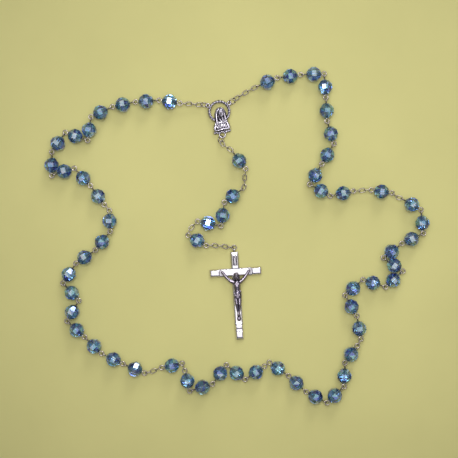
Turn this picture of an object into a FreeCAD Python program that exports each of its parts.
"""A five-decade rosary laid out flat: 59 faceted glass beads on wire eye pins, joined by small chain,
with a centre medal and a crucifix. Millimetres, +Z up, the table at z = 0.

Every bead is threaded on its own pin, and each pin's last loop holds the next pin's first loop or a chain
link. A strand is laid out by walking from the medal outwards, one pin, link or ring at a time. The origin
is the middle of the layout, on the table.
"""

import FreeCAD, Part
import Sketcher
import math
import os

from FreeCAD import Placement, Rotation, Vector

# The driving dimensions, in mm and degrees. They fill the document's spreadsheet.
SIZES = {
    "bead_width": 6.5,
    "bead_length": 6.6,
    "bead_bore": 0.9,
    "shoulder_tilt": 36,
    "shoulder_reach": 2.98,
    "crown_tilt": 62,
    "crown_reach": 3.22,
    "axis_height": 3.15,
    "loop_mean": 1.9,
    "loop_wire": 0.6,
    "loop_turn": 335,
    "shank_wire": 0.56,
    "pin_reach": 9.2,
    "link_mean": 1.6,
    "link_wire": 0.45,
    "link_straight": 1.2,
    "ring_mean": 3.0,
    "ring_wire": 0.5,
    "bail_mean": 2.0,
    "bail_wire": 0.5,
    "play": 0.1,
    "halo_mean": 8.8,
    "halo_wire": 1.24,
    "halo_height": 1.55,
    "figure_depth": 2.7,
    "lug_mean": 1.6,
    "lug_wire": 0.55,
    "lug_reach": 5.7,
    "eyelet_mean": 2.6,
    "eyelet_wire": 0.7,
    "eyelet_reach": 10.3,
    "cross_length": 38.8,
    "cross_span": 22.8,
    "cross_bar": 3.4,
    "cross_depth": 1.5,
    "cross_bar_drop": 9.05,
    "cross_bevel": 0.35,
    "end_plate": 4.2,
    "end_plate_rise": 0.25,
    "cross_eyelet_mean": 1.4,
    "cross_eyelet_wire": 0.5,
    "cross_eyelet_height": 1.0,
    "plaque_drop": 2.3,
    "plaque_width": 2.5,
    "plaque_length": 4.8,
    "plaque_depth": 0.4,
}
# The medal's figure as upright ovals: length along the medal's own Y, width, height as a share of
# figure_depth, and the middle from the halo's middle. Its rim is the outline, which stays inside the halo.
MEDAL_OVALS = {
    "veil": (6.8, 4.9, 0.8, (0.4, -0.6)),
    "head": (4.6, 3.4, 1.0, (0.5, -0.6)),
    "shoulders": (7.5, 6.1, 0.9, (0.1, -5.6)),
    "robe": (4.5, 7.6, 1.0, (0, -7.2)),
}
# The figure on the cross: each ball is its middle and radius; each limb is its two ends with their radii.
# A point is (down from the bar, sideways, above the cross); the arms and legs are made for both sides.
CORPUS_HEAD = ((1.9, 0.2, 1.0), 1.3)
CORPUS_TRUNK = ((2.9, 0.2, 0.9), 1.6, (9.6, 0.2, 0.8), 1.05)
CORPUS_CLOTH = ((7.6, 0.2, 0.8), 1.45, (12.2, 0.1, 0.9), 1.2)
CORPUS_LIMBS = {
    "arm": ((4.2, 1.3, 0.9), 0.75, (-0.4, 6.0, 0.35), 0.4),
    "thigh": ((10.8, 0.65, 0.8), 0.95, (14.2, 0.75, 1.5), 0.75),
    "shin": ((14.2, 0.75, 1.5), 0.75, (18.6, 0.35, 0.6), 0.5),
}
CORPUS_BALLS = {"hand": ((-0.4, 6.0, 0.35), 0.62), "foot": ((19.1, 0.35, 0.55), 0.7)}

FACETS = 8  # round the bead
MEDAL_TURN = 7.6  # degrees, anticlockwise seen from above
CROSS_HEADING = -86.3

# The strands, walked outwards from the medal. A run is (body, kind, headings, rise): the headings are each
# piece's direction on the table, in degrees from +X, and the rise says how the run's height changes:
# "level", "dip" (down to the middle and up again), "to_beads" or "to_cross".
RIGHT_STRAND = (
    ("chain_right", "ring", (30,), "level"),
    ("chain_right", "link", (36, 28, 34, 27, 29), "to_beads"),
    ("decade_1a", "pin", (23, 8, 2), "level"),
    ("decade_1b", "pin", (-86, -87, -73), "level"),
    ("decade_1c", "pin", (-121, -121, -30, 12), "level"),
    ("our_father_1", "link", (2, 12, 2), "dip"),
    ("our_father_1", "pin", (-8,), "level"),
    ("our_father_1", "link", (-38, -14), "dip"),
    ("decade_2a", "pin", (-30, -84, -155), "level"),
    ("decade_2b", "pin", (-142, -34, -138), "level"),
    ("decade_2c", "pin", (162, -139, -60, -80), "level"),
    ("our_father_2", "link", (-118,), "level"),
    ("our_father_2", "pin", (-126,), "level"),
    ("decade_3a", "pin", (-92, -136, 152, 138, 145), "level"),
)
LEFT_STRAND = (
    ("chain_left", "ring", (168,), "level"),
    ("chain_left", "link", (184, 172, 184, 176), "to_beads"),
    ("decade_5c", "pin", (172, -176, -168, -155), "level"),
    ("decade_5b", "pin", (-98, 161, -125), "level"),
    ("decade_5a", "pin", (-90, 18, -47), "level"),
    ("our_father_4", "pin", (-54,), "level"),
    ("our_father_4", "link", (-45,), "level"),
    ("decade_4c", "pin", (-88, -128, -146, -123), "level"),
    ("decade_4b", "pin", (-48, -120, -42), "level"),
    ("decade_4a", "pin", (-44, -26, -23), "level"),
    ("our_father_3", "link", (10, 26, 22), "dip"),
    ("our_father_3", "pin", (12,), "level"),
    ("our_father_3", "link", (-70,), "level"),
    ("decade_3b", "pin", (-76, 17, 54, -38, 34), "level"),
)
PENDANT = (
    ("chain_a", "ring", (-110,), "level"),
    ("chain_a", "link", (-58, -36, -34), "to_beads"),
    ("our_father_5", "pin", (-52,), "level"),
    ("chain_b", "link", (-98, -92, -90, -118), "dip"),
    ("hail_mary_1", "pin", (-144,), "level"),
    ("hail_mary_2", "pin", (-98,), "level"),
    ("hail_mary_3", "pin", (169,), "level"),
    ("our_father_6", "link", (-136, -130, -120), "dip"),
    ("our_father_6", "pin", (-30,), "level"),
    ("chain_d", "link", (3, -11, -2, -15, -3), "to_cross"),
    ("chain_d", "bail", (-20,), "level"),
)
# Where each strand leaves the medal: the lug's angle round the halo on the upright medal, in degrees.
LUGS = {"right_lug": 33, "left_lug": 145}
STARTS = {"right_lug": RIGHT_STRAND, "left_lug": LEFT_STRAND, "eyelet": PENDANT}
# A bead turns freely on its pin, so each lies rolled a little differently.
BEAD_ROLLS = (16, 28, 21, 25, 19, 30, 23)
SETTLE_STEPS = 6  # the slope moves the point that the piece hangs on, so the two are settled in turn
RING_ROLL = 50  # a jump ring leans instead of standing on edge
DIP = 12  # degrees, how far the chain at each side of a bead drops to its middle and rises again
SWINGS = {  # bodies whose hinge swings them flat; the others lift
    "chain_right", "decade_1a", "our_father_1", "decade_2a",
    "chain_left", "decade_5c", "decade_4c", "decade_3b",
    "hail_mary_3", "our_father_6",
}


def rising(heading, slope):
    """The unit vector at a heading on the table and a slope above it, in degrees."""
    flat = math.cos(math.radians(slope))
    turn = math.radians(heading)
    return Vector(flat * math.cos(turn), flat * math.sin(turn), math.sin(math.radians(slope)))


def turned(heading, slope, roll):
    """The rotation that takes +X to that direction, rolled about it."""
    yaw = Rotation(Vector(0, 0, 1), heading)
    pitch = Rotation(Vector(0, 1, 0), -slope)
    return yaw * pitch * Rotation(Vector(1, 0, 0), roll)


def fill_sheet(document):
    sheet = document.addObject("Spreadsheet::Sheet", "Sizes")
    for row, (alias, number) in enumerate(SIZES.items(), start=1):
        sheet.set(f"A{row}", alias)
        sheet.set(f"B{row}", str(number))
        sheet.setAlias(f"B{row}", alias)
    document.recompute()
    return sheet


class Builder:
    """Makes document objects whose sizes are bound to the sheet."""

    def __init__(self, document, sheet):
        self.document = document
        self.sheet = sheet

    def make(self, kind, name, expressions=(), **settings):
        item = self.document.addObject(kind, name)
        for key, value in settings.items():
            setattr(item, key, value)
        for key, words in dict(expressions).items():
            item.setExpression(key, words)
        return item

    def fuse(self, name, *shapes):
        return self.make("Part::MultiFuse", name, Shapes=list(shapes))

    def common(self, name, *shapes):
        return self.make("Part::MultiCommon", name, Shapes=list(shapes))

    def cut(self, name, base, tool):
        return self.make("Part::Cut", name, Base=base, Tool=tool)

    def torus(self, name, mean, wire, **extra):
        sizes = {"Radius1": f"Sizes.{mean} / 2", "Radius2": f"Sizes.{wire} / 2"}
        return self.make("Part::Torus", name, sizes, **extra)

    def oval(self, name, length, width, height, place):
        """An upright oval post, its long side along the place's own X, as high as the expression says."""
        edge = self.make(
            "Part::Ellipse", f"{name}_edge", MajorRadius=length / 2, MinorRadius=width / 2, Placement=place,
        )
        return self.make(
            "Part::Extrusion", name, {"LengthFwd": height},
            Base=edge, DirMode="Custom", Dir=Vector(0, 0, 1), Solid=True,
        )


def bead_master(build):
    """A round bead along X: an eight-sided belt, with its shoulders and crowns ground to flat facets."""
    size = build.sheet
    belt = build.make(
        "Part::Prism",
        "bead_belt",
        {"Circumradius": "Sizes.bead_width / 2", "Height": "Sizes.bead_length",
         "Placement.Base.x": "-Sizes.bead_length / 2"},
        Polygon=FACETS,
        Placement=Placement(Vector(), Rotation(Vector(0, 1, 0), 90)),
    )
    facets = []
    rows = (("shoulder", size.shoulder_tilt, 0.5, size.shoulder_reach),
            ("crown", size.crown_tilt, 0, size.crown_reach))
    for row, tilt, offset, reach in rows:
        for side in (-1, 1):
            for count in range(FACETS):
                turn = 360 / FACETS * (count + offset)
                outward = Rotation(Vector(1, 0, 0), turn) * Rotation(Vector(0, 1, 0), tilt * side)
                lift = Vector(-size.bead_width / 2, -size.bead_width / 2, reach)
                facet = build.make(
                    "Part::Box",
                    f"bead_{row}_facet",
                    {"Length": "Sizes.bead_width", "Width": "Sizes.bead_width",
                     "Height": "Sizes.bead_width"},
                    Placement=Placement(outward.multVec(lift), outward),
                )
                facets.append(facet)
    bore = build.make(
        "Part::Cylinder",
        "bead_bore_cutter",
        {"Radius": "Sizes.bead_bore / 2", "Height": "Sizes.bead_length * 2",
         "Placement.Base.x": "-Sizes.bead_length"},
        Placement=Placement(Vector(), Rotation(Vector(0, 1, 0), 90)),
    )
    return build.cut("bead", belt, build.fuse("bead_cutters", bore, *facets))


def pin_master(build, name, first_roll):
    """An eye pin along X: a straight shank with an open loop bent at each end. The last loop lies flat."""
    loops = []
    for label, side, roll, start in (("first", -1, first_roll, 0), ("last", 1, 0, 180)):
        spin = Rotation(Vector(1, 0, 0), roll) * Rotation(Vector(0, 0, 1), start)
        loop = build.torus(f"{name}_{label}_loop", "loop_mean", "loop_wire")
        loop.setExpression("Angle3", "Sizes.loop_turn")
        loop.Placement = Placement(Vector(), spin)
        loop.setExpression("Placement.Base.x", f"Sizes.pin_reach / 2 * {side}")
        loops.append(loop)
    shank = build.make(
        "Part::Cylinder",
        f"{name}_shank",
        {"Radius": "Sizes.shank_wire / 2", "Height": "Sizes.pin_reach - Sizes.loop_mean",
         "Placement.Base.x": "-(Sizes.pin_reach - Sizes.loop_mean) / 2"},
        Placement=Placement(Vector(), Rotation(Vector(0, 1, 0), 90)),
    )
    return build.fuse(name, shank, *loops)


def link_master(build):
    """An oval chain link lying flat, its length along X."""
    pieces = []
    for label, side, start in (("near", -1, 90), ("far", 1, -90)):
        bend = build.torus(f"link_{label}_bend", "link_mean", "link_wire", Angle3=180)
        bend.Placement = Placement(Vector(), Rotation(Vector(0, 0, 1), start))
        bend.setExpression("Placement.Base.x", f"Sizes.link_straight / 2 * {side}")
        pieces.append(bend)
    for label, side in (("left", 1), ("right", -1)):
        straight = build.make(
            "Part::Cylinder",
            f"link_{label}_side",
            {"Radius": "Sizes.link_wire / 2", "Height": "Sizes.link_straight",
             "Placement.Base.x": "-Sizes.link_straight / 2",
             "Placement.Base.y": f"Sizes.link_mean / 2 * {side}"},
            Placement=Placement(Vector(), Rotation(Vector(0, 1, 0), 90)),
        )
        pieces.append(straight)
    return build.fuse("link", *pieces)


def medal_master(build):
    """The centre medal lying on its back: a halo ring, a veiled half figure and the lower eyelet."""
    halo = build.torus("halo", "halo_mean", "halo_wire")
    halo.setExpression("Placement.Base.z", "Sizes.halo_height")
    lugs = []
    for name, angle in LUGS.items():
        lug = build.torus(f"medal_{name}", "lug_mean", "lug_wire")
        lug.setExpression("Placement.Base.x", f"Sizes.lug_reach * cos({angle} deg)")
        lug.setExpression("Placement.Base.y", f"Sizes.lug_reach * sin({angle} deg)")
        lug.setExpression("Placement.Base.z", "Sizes.halo_height")
        lugs.append(lug)
    eyelet = build.torus("medal_eyelet", "eyelet_mean", "eyelet_wire")
    eyelet.setExpression("Placement.Base.y", "-Sizes.eyelet_reach")
    eyelet.setExpression("Placement.Base.z", "Sizes.halo_height")
    figure = []
    for name, (length, width, height, middle) in MEDAL_OVALS.items():
        turn = Rotation(Vector(0, 0, 1), 90 if length > width else 0)
        figure.append(build.oval(
            f"medal_{name}", max(length, width), min(length, width),
            f"Sizes.figure_depth * {height}", Placement(Vector(*middle, 0), turn),
        ))
    return build.fuse("medal_master", halo, *lugs, eyelet, *figure)


def cross_top(size):
    """How far the stem's top is from the middle of its eyelet, whose wire it holds."""
    return size.cross_eyelet_mean / 2 + size.cross_eyelet_wire / 10


def cross_master(build):
    """The cross lying on its back. Local +X runs down the stem from the bar, and the origin is the eyelet."""
    document = build.document
    body = document.addObject("PartDesign::Body", "cross_body")
    plane = next(item for item in body.Origin.OriginFeatures if item.Role == "XY_Plane")

    def outline(name, corners, height):
        sketch = body.newObject("Sketcher::SketchObject", name)
        sketch.AttachmentSupport = (plane, [""])
        sketch.MapMode = "FlatFace"
        if height:
            sketch.setExpression("AttachmentOffset.Base.z", height)
        for start, end in zip(corners, corners[1:] + corners[:1]):
            sketch.addGeometry(Part.LineSegment(Vector(*start, 0), Vector(*end, 0)))
        count = len(corners)
        for index in range(count):
            following = (index + 1) % count
            sketch.addConstraint(Sketcher.Constraint("Coincident", index, 2, following, 1))
        return sketch

    def pad(name, sketch, depth):
        feature = body.newObject("PartDesign::Pad", name)
        feature.Profile = sketch
        feature.setExpression("Length", depth)
        return feature

    size = build.sheet
    half = size.cross_bar / 2
    top = cross_top(size)
    foot = top + size.cross_length
    bar = top + size.cross_bar_drop
    reach = size.cross_span / 2
    corners = [
        (top, -half), (top, half), (bar - half, half), (bar - half, reach), (bar + half, reach),
        (bar + half, half), (foot, half), (foot, -half), (bar + half, -half), (bar + half, -reach),
        (bar - half, -reach), (bar - half, -half),
    ]
    pad("cross_slab", outline("cross_outline", corners, None), "Sizes.cross_depth")
    plate = size.end_plate
    inset = size.cross_bevel
    plates = {
        "left_plate": ((bar - half + inset, -reach + inset), (bar + half - inset, -reach + plate)),
        "right_plate": ((bar - half + inset, reach - plate), (bar + half - inset, reach - inset)),
        "foot_plate": ((foot - plate, -half + inset), (foot - inset, half - inset)),
    }
    for name, ((low_x, low_y), (high_x, high_y)) in plates.items():
        corners = [(low_x, low_y), (high_x, low_y), (high_x, high_y), (low_x, high_y)]
        pad(name, outline(f"{name}_outline", corners, "Sizes.cross_depth"), "Sizes.end_plate_rise")
    eyelet = build.torus("cross_eyelet", "cross_eyelet_mean", "cross_eyelet_wire")
    eyelet.Placement = Placement(Vector(), Rotation(Vector(1, 0, 0), 90))
    eyelet.setExpression("Placement.Base.z", "Sizes.cross_eyelet_height")
    return build.fuse("cross_master", body, eyelet)


def plaque_master(build):
    """The blank title plaque on the upper stem."""
    return build.make(
        "Part::Box",
        "plaque_master",
        {"Length": "Sizes.plaque_length", "Width": "Sizes.plaque_width", "Height": "Sizes.plaque_depth",
         "Placement.Base.x": "Sizes.plaque_drop",
         "Placement.Base.y": "-Sizes.plaque_width / 2",
         "Placement.Base.z": "Sizes.cross_depth"},
    )


def corpus_master(build):
    """The figure on the cross, plain: a head, a trunk, a cloth, two arms and two legs, flat behind."""
    size = build.sheet
    bar = cross_top(size) + size.cross_bar_drop
    back = size.cross_depth

    def point(place, side):
        down, sideways, above = place
        return Vector(bar + down, side * sideways, back + above)

    def limb(name, start, start_radius, end, end_radius, side=1):
        start = point(start, side)
        along = point(end, side) - start
        return build.make(
            "Part::Cone",
            name,
            Radius1=start_radius, Radius2=end_radius, Height=along.Length,
            Placement=Placement(start, Rotation(Vector(0, 0, 1), along)),
        )

    def ball(name, middle, radius, side=1):
        return build.make(
            "Part::Sphere", name, Radius=radius, Placement=Placement(point(middle, side), Rotation()),
        )

    pieces = [
        ball("corpus_head", *CORPUS_HEAD),
        limb("corpus_trunk", *CORPUS_TRUNK),
        limb("corpus_cloth", *CORPUS_CLOTH),
    ]
    for label, side in (("left", 1), ("right", -1)):
        pieces += [limb(f"corpus_{label}_{name}", *row, side) for name, row in CORPUS_LIMBS.items()]
        pieces += [ball(f"corpus_{label}_{name}", *row, side) for name, row in CORPUS_BALLS.items()]
    whole = build.fuse("corpus_whole", *pieces)
    front = build.make(
        "Part::Box",
        "corpus_front_space",
        Length=size.cross_length, Width=size.cross_span, Height=size.cross_depth * 4,
        Placement=Placement(Vector(0, -size.cross_span / 2, back), Rotation()),
    )
    return build.common("corpus_master", whole, front)


class Piece:
    """One placed copy of a master: its kind, its place, and its last loop, which holds the next piece."""

    def __init__(self, kind, place, end, end_mean, end_wire, end_roll):
        self.kind = kind
        self.place = place
        self.end = end
        self.end_mean = end_mean
        self.end_wire = end_wire
        self.end_roll = end_roll


class Layout:
    """Walks the strands and collects each body's pieces and each hinge between two bodies."""

    def __init__(self, size):
        self.size = size
        self.pieces = {}  # body to its pieces
        self.hinges = []  # (name, parent, child, place, axis)
        self.loops = {
            # kind: loop mean diameter, wire, distance between the loop centres
            "pin": (size.loop_mean, size.loop_wire, size.pin_reach),
            "pin_flat": (size.loop_mean, size.loop_wire, size.pin_reach),
            "link": (size.link_mean, size.link_wire, size.link_straight),
            "ring": (size.ring_mean, size.ring_wire, 0),
            "bail": (size.bail_mean, size.bail_wire, 0),
        }

    def pitch_length(self, kind):
        mean, wire, reach = self.loops[kind]
        return mean + reach - wire - self.size.play

    def contact(self, parent, heading, slope):
        """The point on the parent's last loop that a piece pulling that way hangs on."""
        normal = parent.place.Rotation.multVec(Vector(0, 0, 1))
        pull = rising(heading, slope)
        in_plane = pull - normal * pull.dot(normal)
        return parent.end + in_plane.normalize() * (parent.end_mean / 2)

    def add(self, body, parent, kind, heading, slope, rim):
        """Places the next piece so that its first loop holds the parent's last loop with some play."""
        flat_parent = parent.end_roll < 45
        if kind == "pin" and not flat_parent:
            kind = "pin_flat"
        mean, wire, reach = self.loops[kind]
        rolls = {"pin": 0, "pin_flat": 0, "ring": RING_ROLL}
        roll = rolls.get(kind, 90 if flat_parent else 0)
        along = rising(heading, slope)
        hold = (mean - wire - parent.end_wire) / 2 - self.size.play
        first = rim + along * hold
        if kind in ("pin", "pin_flat"):
            first.z = self.size.axis_height  # its bead lies on the table
        if kind == "bail":
            first.z = self.size.cross_eyelet_height
        place = Placement(first + along * (reach / 2), turned(heading, slope, roll))
        piece = Piece(kind, place, first + along * reach, mean, wire, roll)
        self.pieces.setdefault(body, []).append(piece)
        return piece

    def slope(self, kind, left, count, rise, height):
        """The slope of a run's next piece, with this many left of its count, from the height it hangs on."""
        falling = count - left < count // 2
        if rise == "level" or (rise == "dip" and count == 1):
            return 0
        if rise == "dip" and falling:
            return -DIP
        goal = self.size.cross_eyelet_height if rise == "to_cross" else self.size.axis_height
        return math.degrees(math.asin((goal - height) / (left * self.pitch_length(kind))))

    def walk(self, strand, parent, parent_body):
        """Lays out one strand and returns its last piece and body."""
        slope = 0
        for body, kind, headings, rise in strand:
            for index, heading in enumerate(headings):
                for _ in range(SETTLE_STEPS):
                    rim = self.contact(parent, heading, slope)
                    slope = self.slope(kind, len(headings) - index, len(headings), rise, rim.z)
                if body != parent_body:
                    self.hinges.append(self.hinge(parent_body, body, parent, rim, heading))
                    parent_body = body
                parent = self.add(body, parent, kind, heading, slope, rim)
        return parent, parent_body

    def hinge(self, parent_body, body, parent, rim, heading):
        """A hinge about the wire of the parent's loop, or one that swings the body flat on the table.

        A swing slides round the parent's loop where that lies flat, and turns on its wire where it stands up.
        """
        if body not in SWINGS:
            return (f"{body}_lift", parent_body, body, rim, rising(heading - 90, 0))
        pivot = parent.end if parent.end_roll < 45 else rim
        return (f"{body}_swing", parent_body, body, pivot, Vector(0, 0, 1))


def medal_place():
    return Placement(Vector(), Rotation(Vector(0, 0, 1), MEDAL_TURN))


def lay_out(size):
    """Everything's place with the medal's halo at the origin, before the layout is centred."""
    layout = Layout(size)
    medal = medal_place()
    for start, strand in STARTS.items():
        if start in LUGS:
            at, mean, wire = rising(LUGS[start], 0) * size.lug_reach, size.lug_mean, size.lug_wire
        else:
            at, mean, wire = Vector(0, -size.eyelet_reach, 0), size.eyelet_mean, size.eyelet_wire
        end = medal.multVec(at + Vector(0, 0, size.halo_height))
        last, last_body = layout.walk(strand, Piece("medal", medal, end, mean, wire, 0), "medal")
    rim = last.end + rising(CROSS_HEADING, 0) * (last.end_mean / 2)
    hold = size.cross_eyelet_mean / 2 - size.cross_eyelet_wire / 2 - last.end_wire / 2 - size.play
    at = rim + rising(CROSS_HEADING, 0) * hold
    layout.cross_place = Placement(Vector(at.x, at.y, 0), turned(CROSS_HEADING, 0, 0))
    layout.hinges.append(layout.hinge(last_body, "crucifix", last, rim, CROSS_HEADING))
    return layout


def copies(placed):
    """One compound of separate solids, from pairs of a master and its place."""
    solids = []
    for master, place in placed:
        for solid in master.Shape.Solids:
            one = solid.copy()
            one.Placement = place.multiply(solid.Placement)
            solids.append(one)
    return Part.Compound(solids)


def node_shapes(layout, masters):
    """Each node's name and its shape, before the layout is centred."""
    nodes = {}
    bead_count = 0
    for body, pieces in layout.pieces.items():
        pins = [piece for piece in pieces if piece.kind in ("pin", "pin_flat")]
        if pins:
            many = "s" if len(pins) > 1 else ""
            beads = []
            for piece in pins:
                roll = Rotation(Vector(1, 0, 0), BEAD_ROLLS[bead_count % len(BEAD_ROLLS)])
                beads.append((masters["bead"], piece.place.multiply(Placement(Vector(), roll))))
                bead_count += 1
            nodes[f"{body}_bead{many}"] = copies(beads)
            nodes[f"{body}_pin{many}"] = copies([(masters[piece.kind], piece.place) for piece in pins])
        chain = [piece for piece in pieces if piece.kind in ("link", "ring", "bail")]
        if chain:
            name = body if body.startswith("chain") else f"{body}_chain"
            nodes[name] = copies([(masters[piece.kind], piece.place) for piece in chain])
    nodes["medal"] = copies([(masters["medal"], medal_place())])
    for name in ("cross", "title_plaque", "corpus"):
        nodes[name] = copies([(masters[name], layout.cross_place)])
    return nodes


def check(document):
    for item in document.Objects:
        if "Invalid" in item.State or "Error" in item.State:
            raise RuntimeError(f"{item.Label} failed: {item.State}")


document = FreeCAD.newDocument("Rosary")
sheet = fill_sheet(document)
build = Builder(document, sheet)
masters = {
    "bead": bead_master(build),
    "pin": pin_master(build, "pin", 90),
    "pin_flat": pin_master(build, "pin_flat", 0),
    "link": link_master(build),
    "ring": build.torus("ring", "ring_mean", "ring_wire"),
    "bail": build.torus("bail", "bail_mean", "bail_wire"),
    "medal": medal_master(build),
    "cross": cross_master(build),
    "title_plaque": plaque_master(build),
    "corpus": corpus_master(build),
}
document.recompute()
check(document)

layout = lay_out(sheet)
shapes = node_shapes(layout, masters)
box = FreeCAD.BoundBox()
for shape in shapes.values():
    for solid in shape.Solids:
        box.add(solid.optimalBoundingBox(False, False))
centring = Vector(-box.Center.x, -box.Center.y, -box.ZMin)

nodes = []
for name, shape in shapes.items():
    node = document.addObject("Part::Feature", name)
    node.Label = name
    node.Shape = shape
    node.Placement = Placement(centring, Rotation())
    nodes.append(node)
document.recompute()
check(document)

HINGES = [
    (name, parent, child, place + centring, axis)
    for name, parent, child, place, axis in layout.hinges
]

os.makedirs("parts", exist_ok=True)
for node in nodes:
    if node.Shape.isNull() or not node.Shape.isValid():
        raise RuntimeError(f"{node.Label} is not a valid shape")
    node.Shape.exportStep(f"parts/{node.Label}.step")
print(f"{len(nodes)} nodes, {sum(len(node.Shape.Solids) for node in nodes)} solids,"
      f" {box.XLength:.2f} x {box.YLength:.2f} x {box.ZLength:.2f} mm")
